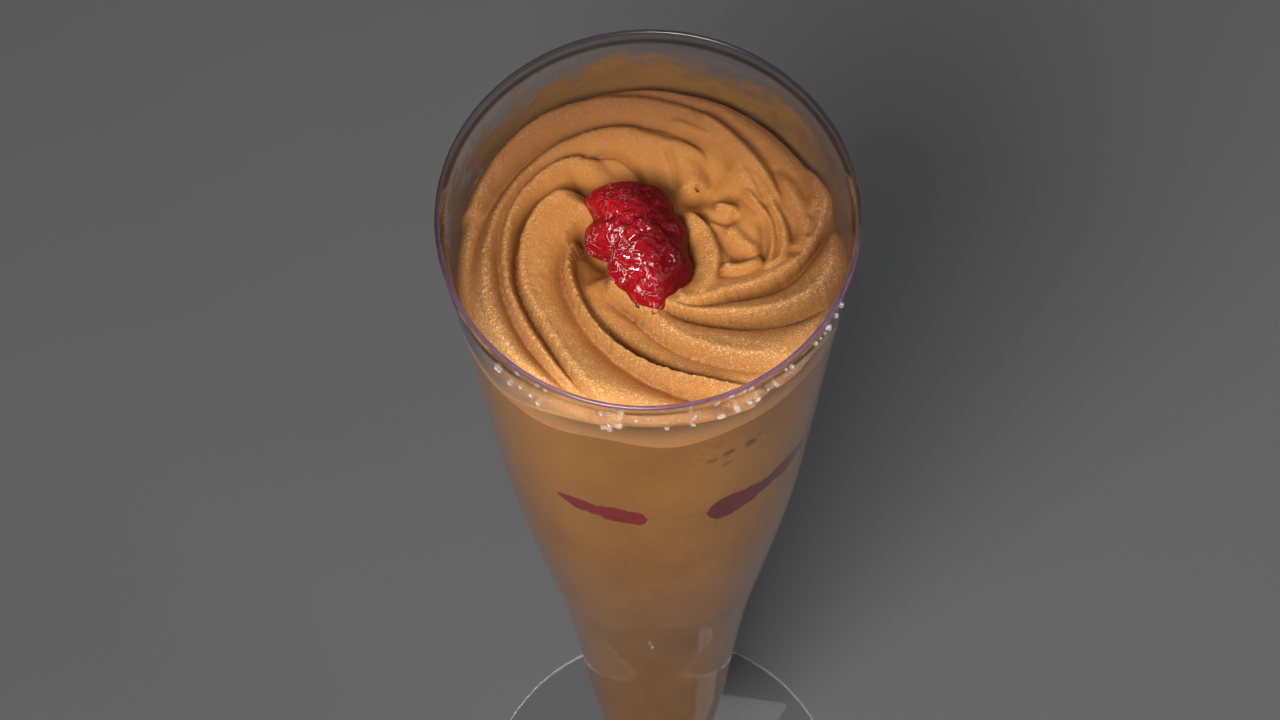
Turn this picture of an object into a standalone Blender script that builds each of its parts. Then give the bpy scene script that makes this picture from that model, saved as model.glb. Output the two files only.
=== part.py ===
"""A mocha-chocolate mousse in its tall clear flute, with a piped rosette and a raspberry on top.

Metres, +Z up. The origin is under the middle of the foot, and -Y is the front.
Heights inside the flute are often given as a depth below the rim, in rim radii.
"""

import math

import bmesh
import bpy
import numpy as np

# Driving dimensions, in metres
RIM_RADIUS = 0.0255
CUP_HEIGHT = 0.2260
WALL = 0.0007
FOOT_RADIUS = 0.0310
FOOT_EDGE = 0.0014
FOOT_ROUNDING = 0.0004
BOWL_FLOOR = 0.0480
FLOOR_ROUNDING = 0.0100
GAP = 0.0003

# The flute's outer outline from the stem's foot up to the rim: (height, radius)
CUP_OUTLINE = [
    (0.0030, 0.0190),
    (0.0056, 0.0082),
    (0.0118, 0.0044),
    (0.0220, 0.0049),
    (0.0347, 0.0066),
    (0.0500, 0.0089),
    (0.0679, 0.0108),
    (0.0883, 0.0123),
    (0.1112, 0.0144),
    (0.1342, 0.0174),
    (0.1571, 0.0201),
    (0.1801, 0.0219),
    (0.2030, 0.0236),
    (0.2254, 0.0255),
]

# Depths of the fillings' seams below the rim, and their waves, in rim radii
ROSETTE_SEAM = 0.53
ROSETTE_SEAM_WAVE = 0.030
ROSETTE_SEAM_DROP = 0.09
FRUIT_DEPTH = 1.64
FRUIT_TILT = 0.10
FRUIT_WAVE = 0.004
LOWER_SEAM = 2.06
LOWER_SEAM_WAVE = 0.010

# The rosette, in rim radii
ROSETTE_DEPTH = 0.350
ROSETTE_DOME = 0.040
ROSETTE_EDGE = 0.84
EDGE_DROP = 0.20
FRONT_LIFT = 0.055

# Piped ridges: (start angle, stop angle, height, inner width, outer width, crest radii at even angles).
# Angles in degrees run counter-clockwise from +X, and lengths are in rim radii.
RIDGES = [
    (-10, 165, 0.060, 0.22, 0.12, (0.72, 0.785, 0.80, 0.83, 0.92, 1.05)),
    (8, 170, 0.090, 0.20, 0.09, (0.57, 0.675, 0.77, 0.87, 1.02)),
    (26, 300, 0.100, 0.20, 0.08, (0.50, 0.56, 0.65, 0.725, 0.83, 0.93, 1.15)),
    (92, 300, 0.120, 0.15, 0.055, (0.34, 0.56, 0.66, 0.695, 0.765, 0.97, 1.30)),
    (118, 306, 0.145, 0.38, 0.05, (0.28, 0.52, 0.62, 0.70, 1.02, 1.50)),
    (156, 336, 0.132, 0.12, 0.05, (0.24, 0.385, 0.48, 0.655, 0.92, 1.40)),
    (196, 336, 0.078, 0.20, 0.07, (0.32, 0.385, 0.47, 0.64, 0.95, 1.40)),
    (208, 352, 0.135, 0.30, 0.05, (0.25, 0.30, 0.37, 0.64, 1.02, 1.50)),
    (262, 380, 0.130, 0.20, 0.05, (0.30, 0.37, 0.51, 0.77, 0.95, 1.30)),
    (275, 400, 0.120, 0.20, 0.05, (0.28, 0.375, 0.48, 0.71, 0.90, 1.20)),
]
RELIEF = 1.35
RELIEF_BASE = 0.06
RIDGE_FADE_IN = 0.18

# Rounded folds where the piping broke off, right of the raspberry:
# (x, y, half length, half width, turn in degrees, height), with lengths in rim radii
FOLDS = [
    (0.24, 0.00, 0.16, 0.070, -74, 0.105),
    (0.29, -0.08, 0.13, 0.050, -83, 0.110),
    (0.42, -0.14, 0.11, 0.060, 0, 0.125),
    (0.41, 0.02, 0.12, 0.080, -45, 0.105),
    (0.35, 0.17, 0.08, 0.060, -5, 0.110),
    (0.63, 0.10, 0.24, 0.055, 85, 0.110),
    (0.73, 0.14, 0.26, 0.090, 100, 0.095),
]
BLEND_SHARPNESS = 120.0

# The raspberry piece, in rim radii: its lobed outline as (angle in degrees, radius) about its middle,
# and its drupelets as (x, y, radius)
BERRY_MIDDLE = (-0.060, -0.041)
BERRY_OUTLINE = [
    (0, 0.24), (24, 0.25), (42, 0.25), (60, 0.31), (84, 0.33), (108, 0.345), (132, 0.345), (144, 0.24),
    (168, 0.25), (192, 0.20), (207, 0.15), (228, 0.20), (252, 0.25), (276, 0.34), (288, 0.355), (300, 0.31),
    (324, 0.31), (342, 0.27), (360, 0.24),
]
DRUPELETS = [
    (-0.25, 0.20, 0.11), (-0.26, 0.02, 0.11), (-0.12, -0.20, 0.13), (0.01, -0.31, 0.11), (-0.12, -0.03, 0.11),
    (0.01, -0.13, 0.11), (-0.16, 0.13, 0.10), (-0.12, 0.25, 0.10), (-0.01, 0.25, 0.10), (0.10, 0.18, 0.10),
    (-0.03, 0.12, 0.11), (0.14, 0.03, 0.11), (0.03, 0.00, 0.10), (0.16, -0.15, 0.10), (0.10, -0.25, 0.09),
    (0.10, -0.10, 0.09),
]
BERRY_LEVEL = 0.255
BERRY_RISE = 0.235
BERRY_SINK = 0.115

# The raspberry layer, in metres, and where it shows at the wall:
# (centre angle, half width in degrees, share of its full thickness)
FRUIT_HALF_THICKNESS = 0.0029
FRUIT_COVER = 0.0034
FRUIT_THIN = 0.0002
FRUIT_SHOWN = [
    (259, 9, 0.85), (247, 16, 0.40), (299, 12, 0.95), (316, 20, 0.50), (78, 20, 0.80), (165, 16, 0.60),
]

# Mesh fineness
CUP_SEGMENTS = 40
ROSETTE_SEGMENTS = 83
ROSETTE_RINGS = 10
ROSETTE_TWIST = math.radians(150.0)
FILLING_SEGMENTS = 40
FILLING_RINGS = 2
FRUIT_SEGMENTS = 54
BERRY_SEGMENTS = 27
BERRY_RINGS = 6


def spline(stations, count):
    """Points on the Catmull-Rom curve through the stations, evenly spaced between them."""
    p = np.asarray(stations, float)
    ends = np.vstack([2 * p[0] - p[1], p, 2 * p[-1] - p[-2]])
    u = np.linspace(0, len(p) - 1, count)
    i = np.minimum(u.astype(int), len(p) - 2)
    t = (u - i)[:, None]
    a, b, c, d = ends[i], ends[i + 1], ends[i + 2], ends[i + 3]
    return 0.5 * (2 * b + (c - a) * t + (2 * a - 5 * b + 4 * c - d) * t**2 + (3 * b - a - 3 * c + d) * t**3)


def smoothstep(x, low, high):
    t = np.clip((x - low) / (high - low), 0, 1)
    return t * t * (3 - 2 * t)


def outer_radius(z):
    """The flute's outer radius at a height."""
    curve = spline(CUP_OUTLINE, 281)
    return np.interp(z, curve[:, 0], curve[:, 1])


def inner_radius(z):
    """The bowl's inner radius at a height, rounded in to nothing at its floor."""
    t = np.clip((np.asarray(z, float) - BOWL_FLOOR) / FLOOR_ROUNDING, 0, 1)
    return (outer_radius(z) - WALL) * np.sqrt(1 - (1 - t) ** 2)


def filling_radius(z):
    """The radius of what fills the bowl, a gap clear of the wall and floor."""
    return np.maximum(inner_radius(np.asarray(z, float) - GAP) - GAP, 0.0)


def add_object(name, mesh, material, smooth_angle):
    obj = bpy.data.objects.new(name, mesh)
    bpy.context.scene.collection.objects.link(obj)
    mesh.materials.append(material)
    mesh.shade_smooth()
    mesh.set_sharp_from_angle(angle=math.radians(smooth_angle))
    return obj


def turned(name, outline, material):
    """A solid turned about the Z axis from an outline of (radius, height) that begins and ends on the axis."""
    bm = bmesh.new()
    verts = [bm.verts.new((r, 0.0, z)) for r, z in outline]
    edges = [bm.edges.new(pair) for pair in zip(verts, verts[1:])]
    bmesh.ops.spin(
        bm,
        geom=verts + edges,
        cent=(0, 0, 0),
        axis=(0, 0, 1),
        angle=2 * math.pi,
        steps=CUP_SEGMENTS,
        use_merge=True,
    )
    bmesh.ops.remove_doubles(bm, verts=bm.verts, dist=1e-6)
    bmesh.ops.recalc_face_normals(bm, faces=bm.faces)
    mesh = bpy.data.meshes.new(name)
    bm.to_mesh(mesh)
    bm.free()
    return add_object(name, mesh, material, 40)


def skinned(name, first_pole, rows, last_pole, material):
    """A closed skin over rings of points, from the pole on top, down the side, to the pole underneath."""
    rows = np.asarray(rows, float)
    count, around = rows.shape[:2]
    points = np.vstack([[first_pole], rows.reshape(-1, 3), [last_pole]])
    k = np.arange(around)
    after = (k + 1) % around
    faces = [(0, 1 + a, 1 + b) for a, b in zip(k, after)]
    for row in range(count - 1):
        here = 1 + row * around
        below = here + around
        faces += [(here + a, below + a, below + b, here + b) for a, b in zip(k, after)]
    here = 1 + (count - 1) * around
    faces += [(here + a, len(points) - 1, here + b) for a, b in zip(k, after)]
    mesh = bpy.data.meshes.new(name)
    mesh.from_pydata([tuple(p) for p in points], [], [tuple(int(i) for i in f) for f in faces])
    mesh.update()
    return add_object(name, mesh, material, 60)


def ring_angles(segments):
    return np.arange(segments) * 2 * math.pi / segments


def ridge_height(x, y, start, stop, height, inner, outer, radii):
    """A spiral ridge that slopes away gently inside its crest and steeply outside it, fading in at its start."""
    span = stop - start
    angle = (np.degrees(np.arctan2(y, x)) - start) % 360.0
    angle = np.where(angle > (span + 360.0) / 2, angle - 360.0, angle)
    place = angle / span
    stations = np.linspace(0, 1, 65)
    crest = spline([(r,) for r in radii], 65)[:, 0]
    slope = np.gradient(crest, stations) / math.radians(span)
    here = np.interp(place, stations, crest)
    away = (np.hypot(x, y) - here) * here / np.hypot(here, np.interp(place, stations, slope))
    width = np.where(away > 0, outer, inner)
    across = np.clip(1 - (np.abs(away) / width) ** 1.6, -1, 1)
    fade = smoothstep(place, 0, RIDGE_FADE_IN) * smoothstep(1 - place, 0, 0.04)
    return height * (across * fade - (1 - fade))


def fold_height(x, y, middle_x, middle_y, half_length, half_width, turn, height):
    """A rounded mound, longer than wide."""
    c, s = math.cos(math.radians(turn)), math.sin(math.radians(turn))
    along = ((x - middle_x) * c + (y - middle_y) * s) / half_length
    across = ((y - middle_y) * c - (x - middle_x) * s) / half_width
    return height * np.clip(1 - (along**2 + across**2) / 2, -1, 1)


def swirl(x, y):
    """Height of the piped ridges over the rosette's base: the blended upper envelope of all ridges and folds."""
    heights = [np.zeros_like(x)]
    heights += [ridge_height(x, y, *ridge) for ridge in RIDGES]
    heights += [fold_height(x, y, *fold) for fold in FOLDS]
    total = np.sum([np.exp(BLEND_SHARPNESS * h) for h in heights], axis=0)
    return np.log(total) / BLEND_SHARPNESS


def front_share(angle):
    """1 at the front, where the ridges run out against the wall, and 0 at the back and sides."""
    return smoothstep(np.cos(angle + math.radians(82.0)), 0.45, 0.90)


def rosette_surface(radius, angle):
    """Height of the rosette's top: a low dome, with the piping rising and falling about a base level."""
    x, y = radius * np.cos(angle), radius * np.sin(angle)
    share = radius / RIM_RADIUS
    depth = ROSETTE_DEPTH - ROSETTE_DOME * (1 - share**2)
    front = front_share(angle)
    depth = depth - FRONT_LIFT * front * smoothstep(share, 0.45, 0.90)
    lift = RELIEF * (swirl(x / RIM_RADIUS, y / RIM_RADIUS) - RELIEF_BASE)
    depth = depth - lift * (1 - 0.6 * front * smoothstep(share, 0.8, 0.93))
    depth = depth + EDGE_DROP * (1 - front) * smoothstep(share, ROSETTE_EDGE, 0.95) ** 2
    return CUP_HEIGHT - depth * RIM_RADIUS


def seam(depth, wave, tilt=0.0, drop=0.0):
    """A function for the height of a seam between fillings: wavy, tilted down to the right, and lower by a
    drop everywhere but at the front."""

    def height(radius, angle):
        share = radius / RIM_RADIUS
        ripple = wave * share * (np.sin(7 * angle - 1.55) + 0.6 * np.sin(11 * angle - 0.65))
        slope = tilt * share * np.cos(angle) + drop * share * (1 - front_share(angle))
        return CUP_HEIGHT - RIM_RADIUS * (depth + ripple + slope)

    return height


def fruit_at_wall(angle, margin):
    """The share of its thickness that the raspberry layer has at the wall: half ellipses along the wall."""
    share = np.zeros_like(angle)
    wider = math.degrees(4 * margin / RIM_RADIUS)
    for centre, half_width, thickness in FRUIT_SHOWN:
        off = np.degrees(np.abs(np.angle(np.exp(1j * (angle - math.radians(centre)))))) / (half_width + wider)
        share = np.maximum(share, thickness * np.sqrt(np.clip(1 - off**2, 0, 1)))
    return share


def fruit_reach(wall, angle, margin):
    """The radius at which the raspberry layer would thin to nothing: past the wall where it shows there,
    and inside the mousse elsewhere."""
    shown = fruit_at_wall(angle, margin)
    return wall / (1 - shown**2) ** (1 / 6) - FRUIT_COVER * (1 - smoothstep(shown, 0, 0.5))


def fruit_half_thickness(radius, reach, angle):
    """Half the raspberry layer's thickness: lumpy, and thinning to its reach."""
    bumps = 1 + 0.16 * np.sin(5 * angle + 90 * radius) + 0.12 * np.sin(9 * angle + 1.1)
    return FRUIT_THIN + FRUIT_HALF_THICKNESS * bumps * np.sqrt(np.clip(1 - (radius / reach) ** 6, 0, 1))


def wall_edge(surface, angles):
    """The radius at which a surface meets the bowl's wall, found by stepping to it."""
    radius = np.full_like(angles, 0.8 * RIM_RADIUS)
    for _ in range(12):
        radius = filling_radius(surface(radius, angles))
    return radius


def disc_rows(surface, angles, rings, twist):
    """Rings over a surface, from the middle out to the wall, each turned on a little from the one inside it."""
    shares = np.arange(1, rings + 1)[:, None] / rings
    angle = angles + twist * (shares - 1)
    radius = shares * wall_edge(surface, angles)
    return np.dstack([radius * np.cos(angle), radius * np.sin(angle), surface(radius, angle)])


def filling(name, top, bottom, material, segments, rings, side_rows, twist=0.0):
    """What fills the bowl between two surfaces, and along the wall between their edges."""
    angles = ring_angles(segments)
    upper = disc_rows(top, angles, rings, twist)
    if bottom is None:
        levels = np.full_like(angles, BOWL_FLOOR + GAP)
        last_pole = (0, 0, BOWL_FLOOR + GAP)
    else:
        lower = disc_rows(bottom, angles, FILLING_RINGS, 0.0)
        levels = lower[-1, :, 2]
        last_pole = (0, 0, float(bottom(np.zeros(1), np.zeros(1))[0]))
    steps = np.arange(1, side_rows + 1) / (side_rows + 1)
    if bottom is None:
        steps = np.sin(steps * math.pi / 2)
    z = upper[-1, :, 2] + (levels - upper[-1, :, 2]) * steps[:, None]
    radius = filling_radius(z)
    side = np.dstack([radius * np.cos(angles), radius * np.sin(angles), z])
    rows = np.concatenate([upper, side] if bottom is None else [upper, side, lower[::-1]])
    first_pole = (0, 0, float(top(np.zeros(1), np.zeros(1))[0]))
    return skinned(name, first_pole, rows, last_pole, material)


def lifted(surface, offset):
    """A surface moved up by an offset."""

    def height(radius, angle):
        return surface(radius, angle) + offset

    return height


def make_raspberry_layer(name, margin, material):
    """The layer of raspberry pieces that runs through the mousse, grown all round by a margin."""
    middle = seam(FRUIT_DEPTH, FRUIT_WAVE, FRUIT_TILT)
    angles = ring_angles(FRUIT_SEGMENTS)
    wall = wall_edge(middle, angles)
    reach = fruit_reach(wall, angles, margin)
    shares = np.array([0.30, 0.60, 0.80, 0.92, 1.0])
    radius = shares[:, None] * np.minimum(wall, reach)
    angle = np.broadcast_to(angles, radius.shape)
    half = fruit_half_thickness(radius, reach, angle) + margin
    level = middle(radius, angle)
    radius = radius + margin * shares[:, None]
    flat = np.dstack([radius * np.cos(angle), radius * np.sin(angle), level])
    up = np.zeros_like(flat)
    up[..., 2] = half
    rows = np.concatenate([flat + up, (flat - up)[::-1]])
    centre = float(middle(np.zeros(1), np.zeros(1))[0])
    thick = FRUIT_THIN + FRUIT_HALF_THICKNESS + margin
    return skinned(name, (0, 0, centre + thick), rows, (0, 0, centre - thick), material)


def make_raspberry(name, margin, material):
    """The raspberry piece, grown by a margin: drupelets on a domed lump with a lobed outline."""
    angles = ring_angles(BERRY_SEGMENTS)
    reach = np.interp(np.degrees(angles), *np.transpose(BERRY_OUTLINE)) + margin / RIM_RADIUS
    share = np.sin(np.linspace(0.10, 0.5, BERRY_RINGS) * math.pi)[:, None] * np.ones_like(angles)
    x = BERRY_MIDDLE[0] + share * reach * np.cos(angles)
    y = BERRY_MIDDLE[1] + share * reach * np.sin(angles)
    caps = [np.sqrt(np.clip(1 - ((x - a) ** 2 + (y - b) ** 2) / r**2, 0, 1)) for a, b, r in DRUPELETS]
    grown = margin / RIM_RADIUS
    dome = (BERRY_RISE * (0.70 + 0.26 * np.max(caps, axis=0)) + grown) * np.sqrt(1 - share**2.6)
    bowl = (BERRY_SINK + grown) * np.sqrt(1 - share**2)
    top = np.dstack([x, y, dome - BERRY_LEVEL])
    bottom = np.dstack([x, y, -bowl - BERRY_LEVEL])
    rows = np.concatenate([top, bottom[-2::-1]]) * RIM_RADIUS + [0, 0, CUP_HEIGHT]
    middle = np.array(BERRY_MIDDLE) * RIM_RADIUS
    last = (*middle, CUP_HEIGHT - (BERRY_LEVEL + BERRY_SINK + grown) * RIM_RADIUS)
    return skinned(name, (*middle, rows[0, :, 2].max()), rows, last, material)


def cut(piece, cutter):
    """Cut a piece by a guide solid, which stays out of the model."""
    cutter.hide_render = True
    cutter.display_type = "WIRE"
    boolean = piece.modifiers.new("pocket", "BOOLEAN")
    boolean.operation = "DIFFERENCE"
    boolean.object = cutter


def make_cup(material):
    """The clear flute: flat foot, slim stem and tall bowl, with a rounded rim."""
    flat = FOOT_RADIUS - FOOT_ROUNDING
    foot = [(0.0, 0.0), (flat, 0.0), (FOOT_RADIUS, FOOT_EDGE / 2), (flat, FOOT_EDGE)]
    outside = [(r, z) for z, r in CUP_OUTLINE[:-1]]
    bead = WALL / 2
    turn = np.radians([0, 45, 90, 135, 180])
    rim = [(RIM_RADIUS - bead + bead * math.cos(t), CUP_HEIGHT - bead + bead * math.sin(t)) for t in turn]
    stations = spline(CUP_OUTLINE, 2 * len(CUP_OUTLINE) - 1)[-2:0:-1, 0]
    straight = stations[stations > BOWL_FLOOR + FLOOR_ROUNDING]
    rounded = BOWL_FLOOR + FLOOR_ROUNDING * np.array([0.55, 0.25, 0.08])
    heights = np.concatenate([straight, rounded])
    inside = [(float(inner_radius(z)), float(z)) for z in heights]
    return turned("cup", foot + outside + rim + inside + [(0.0, BOWL_FLOOR)], material)


def make_material(name, colour, roughness, transmission=0.0):
    material = bpy.data.materials.new(name)
    material.use_nodes = True
    shader = material.node_tree.nodes["Principled BSDF"]
    shader.inputs["Base Color"].default_value = (*colour, 1.0)
    shader.inputs["Roughness"].default_value = roughness
    shader.inputs["Metallic"].default_value = 0.0
    shader.inputs["Transmission Weight"].default_value = transmission
    return material


def clear_scene():
    for obj in list(bpy.data.objects):
        bpy.data.objects.remove(obj, do_unlink=True)


def main():
    clear_scene()
    plastic = make_material("clear_plastic", (0.90, 0.91, 0.94), 0.05, 1.0)
    piped = make_material("mocha_mousse", (0.55, 0.26, 0.09), 0.60)
    settled = make_material("settled_mousse", (0.42, 0.19, 0.07), 0.55)
    fruit = make_material("raspberry_pulp", (0.20, 0.01, 0.01), 0.30)
    berry = make_material("raspberry_flesh", (0.32, 0.005, 0.010), 0.20)

    rosette_bottom = seam(ROSETTE_SEAM, ROSETTE_SEAM_WAVE, drop=ROSETTE_SEAM_DROP)
    fruit_level = seam(FRUIT_DEPTH, FRUIT_WAVE, FRUIT_TILT)
    lower_seam = seam(LOWER_SEAM, LOWER_SEAM_WAVE)

    make_cup(plastic)
    fineness = (ROSETTE_SEGMENTS, ROSETTE_RINGS, 1, ROSETTE_TWIST)
    rosette = filling("mousse_rosette", rosette_surface, rosette_bottom, piped, *fineness)
    fruit_pocket = make_raspberry_layer("raspberry_layer_pocket", GAP, fruit)
    over_top = lifted(rosette_bottom, -GAP)
    over = filling("mousse_upper", over_top, fruit_level, settled, FILLING_SEGMENTS, FILLING_RINGS, 3)
    cut(over, fruit_pocket)
    make_raspberry_layer("raspberry_layer", 0.0, fruit)
    under_top, under_bottom = lifted(fruit_level, -GAP), lifted(lower_seam, GAP)
    under = filling("mousse_middle", under_top, under_bottom, settled, FILLING_SEGMENTS, FILLING_RINGS, 1)
    cut(under, fruit_pocket)
    filling("mousse_base", lower_seam, None, settled, FILLING_SEGMENTS, FILLING_RINGS, 9)
    cut(rosette, make_raspberry("raspberry_pocket", GAP, berry))
    make_raspberry("raspberry", 0.0, berry)


main()
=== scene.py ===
"""The looks of a mocha-chocolate mousse in a tall clear flute, with a piped rosette and a raspberry on top.

Metres, +Z up, and -Y is the front. Lengths on the rosette and the raspberry are in rim radii, and so are
depths, which go down from the rim.
"""

import math

import bpy
import numpy as np
from mathutils import Matrix, Vector


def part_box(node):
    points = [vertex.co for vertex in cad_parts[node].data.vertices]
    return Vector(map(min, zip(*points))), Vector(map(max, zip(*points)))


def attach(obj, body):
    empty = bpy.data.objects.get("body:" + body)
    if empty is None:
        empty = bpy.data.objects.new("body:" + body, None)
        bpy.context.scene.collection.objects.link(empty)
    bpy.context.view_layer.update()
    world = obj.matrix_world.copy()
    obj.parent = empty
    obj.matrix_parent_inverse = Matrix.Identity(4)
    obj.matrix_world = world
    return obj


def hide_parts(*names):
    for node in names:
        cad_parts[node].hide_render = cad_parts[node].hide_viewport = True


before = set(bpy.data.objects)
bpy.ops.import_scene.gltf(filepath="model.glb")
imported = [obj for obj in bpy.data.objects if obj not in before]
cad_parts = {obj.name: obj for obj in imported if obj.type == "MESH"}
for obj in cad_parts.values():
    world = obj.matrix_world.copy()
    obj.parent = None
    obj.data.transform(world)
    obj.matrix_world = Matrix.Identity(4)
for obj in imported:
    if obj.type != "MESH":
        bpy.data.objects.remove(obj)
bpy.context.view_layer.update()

# ---------------- sizes

CUP_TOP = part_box("cup")[1].z
FOOT_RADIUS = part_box("cup")[1].x
RIM = 0.0255
WALL = 0.0007
LIP_WALL = 0.0006
LIP_TAPER = 0.0040
FOOT_EDGE = 0.0014
FOOT_ROUNDING = 0.0004
BOWL_FLOOR = 0.0480
FLOOR_ROUNDING = 0.0100
BITE = 0.00035  # how far a filling reaches into the wall, so that no air shows between them

# The flute's outer outline from the stem's foot up to the rim: (height, radius)
CUP_OUTLINE = [
    (0.0030, 0.0190), (0.0056, 0.0082), (0.0118, 0.0044), (0.0220, 0.0049), (0.0347, 0.0066),
    (0.0500, 0.0089), (0.0679, 0.0108), (0.0883, 0.0123), (0.1112, 0.0144), (0.1342, 0.0174),
    (0.1571, 0.0201), (0.1801, 0.0219), (0.2030, 0.0236), (0.2254, 0.0255),
]

# The rosette: its dome, the drop at its edge, and its front, which is lifted and pressed against the wall.
# Spans are shares of the radius, but for the front's, which is cosines of the angle off its middle.
ROSETTE_DEPTH = 0.350
ROSETTE_DOME = 0.040
EDGE_DROP = 0.20
EDGE_SPAN = (0.84, 0.95)
FRONT_MIDDLE = math.radians(-77)  # from +X
FRONT_SPAN = (0.40, 0.86)
FRONT_LIFT = 0.055
FRONT_LIFT_SPAN = (0.45, 0.90)
PRESSED_FLAT = 0.6  # the share of the ridges' height that is lost against the wall
PRESSED_SPAN = (0.80, 0.93)
SKIN_LUMPS = [(0.006, 0.11, 3), (0.0022, 0.035, 4)]  # (height, size, seed)

# Piped ridges: (start, stop, height, inner width, outer width, rope, groove depth, groove width, and the
# crest's radii at even angles). Angles in degrees run counter-clockwise from +X. The rope is how boldly a
# crisp edge runs along the crest, and the groove runs along the ridge's outer foot.
RIDGES = [
    (-10, 165, 0.060, 0.22, 0.12, 0.0, 0.006, 0.020, (0.72, 0.785, 0.80, 0.83, 0.92, 1.05)),
    (8, 170, 0.090, 0.20, 0.09, 0.0, 0.018, 0.020, (0.57, 0.675, 0.77, 0.87, 1.02)),
    (26, 300, 0.100, 0.20, 0.08, 0.0, 0.020, 0.020, (0.50, 0.56, 0.65, 0.725, 0.83, 0.93, 1.15)),
    (92, 300, 0.120, 0.13, 0.055, 0.2, 0.030, 0.018, (0.34, 0.56, 0.66, 0.695, 0.765, 0.97, 1.30)),
    (118, 306, 0.145, 0.38, 0.045, 0.3, 0.045, 0.012, (0.28, 0.52, 0.62, 0.70, 1.02, 1.50)),
    (156, 336, 0.152, 0.046, 0.035, 0.7, 0.035, 0.030, (0.24, 0.385, 0.48, 0.655, 0.92, 1.40)),
    (196, 336, 0.066, 0.20, 0.07, 0.0, 0.010, 0.020, (0.32, 0.385, 0.47, 0.64, 0.95, 1.40)),
    (208, 352, 0.128, 0.30, 0.060, 0.3, 0.008, 0.020, (0.25, 0.30, 0.37, 0.64, 1.02, 1.50)),
    (262, 380, 0.130, 0.20, 0.045, 0.3, 0.045, 0.014, (0.30, 0.37, 0.51, 0.77, 0.95, 1.30)),
    (275, 400, 0.120, 0.18, 0.045, 0.2, 0.035, 0.014, (0.28, 0.375, 0.48, 0.71, 0.90, 1.20)),
]
RELIEF = 1.35
RELIEF_BASE = 0.06  # the swirl's height that lies on the rosette's dome
RIDGE_STATIONS = 65
RIDGE_FADE_IN = 0.18  # of the ridge's length, as the other fades are
RIDGE_FADE_OUT = 0.04
GROOVE_FADE_IN = (0.05, 0.30)
GROOVE_START = 0.3  # of the ridge's outer width
ROPE_HEIGHT = 0.14  # of the ridge's height
ROPE_INSET = 0.012
ROPE_WIDTH = 0.020
CRINKLE_SWAY = 0.009
CRINKLE_REACH = 0.035
CRINKLE_WAVES = 12
CRINKLE_RATES = (30, 190)  # waves to a full turn, fewest and most
BLEND_SHARPNESS = 100.0
FOLD_FADE_IN = 0.20
CREASE_FADE = 0.20

# Rounded folds where the piping broke off: (height, width to the left of the way it runs, width to the
# right, and the crest's points)
FOLDS = [
    (0.085, 0.30, 0.30, ((0.22, 0.06), (0.45, 0.06), (0.62, 0.10))),
    (0.115, 0.040, 0.150, ((0.125, 0.155), (0.195, 0.135), (0.255, 0.085), (0.298, 0.03), (0.315, -0.045),
        (0.322, -0.11), (0.30, -0.20), (0.25, -0.28))),
    (0.110, 0.070, 0.060, ((0.315, 0.175), (0.355, 0.178), (0.395, 0.160))),
    (0.106, 0.090, 0.080, ((0.355, 0.065), (0.41, 0.03), (0.445, -0.02), (0.480, -0.045))),
    (0.120, 0.075, 0.065, ((0.33, -0.13), (0.39, -0.16), (0.45, -0.155), (0.51, -0.12))),
    (0.108, 0.050, 0.035, ((0.44, 0.32), (0.50, 0.22), (0.57, 0.10), (0.585, 0.02), (0.583, -0.05),
        (0.560, -0.135))),
    (0.115, 0.050, 0.060, ((0.53, 0.39), (0.58, 0.27), (0.605, 0.18), (0.632, 0.10), (0.645, 0.01),
        (0.64, -0.06), (0.615, -0.115), (0.565, -0.150))),
    (0.110, 0.070, 0.090, ((0.17, 0.735), (0.30, 0.65), (0.41, 0.555), (0.50, 0.44), (0.56, 0.34),
        (0.60, 0.24))),
    (0.092, 0.070, 0.090, ((0.0, 0.69), (0.15, 0.645), (0.26, 0.59), (0.36, 0.53), (0.44, 0.42),
        (0.50, 0.30), (0.53, 0.22))),
    (0.068, 0.090, 0.090, ((0.14, 0.48), (0.20, 0.42), (0.22, 0.34))),
    (0.100, 0.090, 0.070, ((0.61, 0.42), (0.68, 0.26), (0.73, 0.15), (0.745, 0.05), (0.735, -0.03))),
    (0.100, 0.040, 0.040, ((0.77, 0.29), (0.80, 0.17), (0.82, 0.10), (0.80, 0.03), (0.775, -0.03))),
]

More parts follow.
